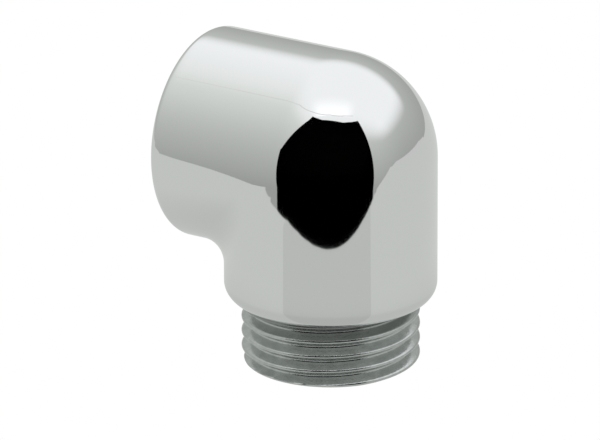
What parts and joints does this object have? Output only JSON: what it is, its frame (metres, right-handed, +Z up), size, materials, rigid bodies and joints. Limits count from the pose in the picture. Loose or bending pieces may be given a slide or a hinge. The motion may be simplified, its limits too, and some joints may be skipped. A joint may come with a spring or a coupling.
{
  "type": "compression fitting",
  "caption": "Smooth chrome 90 degree elbow joining a 15 mm tube by a concealed compression gland to a male G 1/2 thread, with a strainer and a non-return cartridge inside.",
  "frame": {"origin": "centre of the outlet thread's end face, on the axis of the leg", "axes": "+Z up the leg towards the bend, -X along the arm and out of the tube socket's mouth"},
  "size_m": [0.0297, 0.025, 0.0375],
  "materials": {
    "chrome_plate": "polished",
    "brass": "turned",
    "nickel_brass": "satin nickel plate",
    "stainless_mesh": "satin",
    "spring_steel": "drawn wire",
    "seal_rubber": "matt",
    "cartridge_plastic": "moulded",
    "poppet_plastic": "moulded"
  },
  "bodies": {
    "elbow": {"elbow_body": "chrome_plate", "strainer_gasket": "seal_rubber", "strainer": "stainless_mesh", "valve_housing": "cartridge_plastic", "housing_o_ring": "seal_rubber", "spring_guide": "cartridge_plastic", "valve_spring": "spring_steel", "retaining_ring": "spring_steel"},
    "thrust": {"thrust_ring": "brass"},
    "gland": {"gland_nut": "nickel_brass"},
    "olive": {"olive": "brass"},
    "poppet": {"poppet": "poppet_plastic", "poppet_seal": "seal_rubber"}
  },
  "joints": [
    {"name": "thrust_slide", "type": "slide", "parent": "elbow", "child": "thrust", "axis": [-1, 0, 0], "range_m": [0, 0.003]},
    {"name": "gland_turn", "type": "hinge", "parent": "thrust", "child": "gland", "pos_m": [-0.0152, 0, 0.025], "axis": [-1, 0, 0], "range_deg": [0, 1080]},
    {"name": "olive_slide", "type": "slide", "parent": "elbow", "child": "olive", "axis": [-1, 0, 0], "range_m": [0, 0.0015]},
    {"name": "poppet_slide", "type": "slide", "parent": "elbow", "child": "poppet", "axis": [0, 0, -1], "range_m": [0, 0.0025], "stiffness_N_per_m": 120, "springref_m": -0.0017, "deforming": ["valve_spring"]}
  ],
  "couplings": [
    {"joint": "thrust_slide", "follows": "gland_turn", "m_per_rad": 0.00015915},
    {"joint": "olive_slide", "follows": "gland_turn", "m_per_rad": 0.000079577}
  ]
}
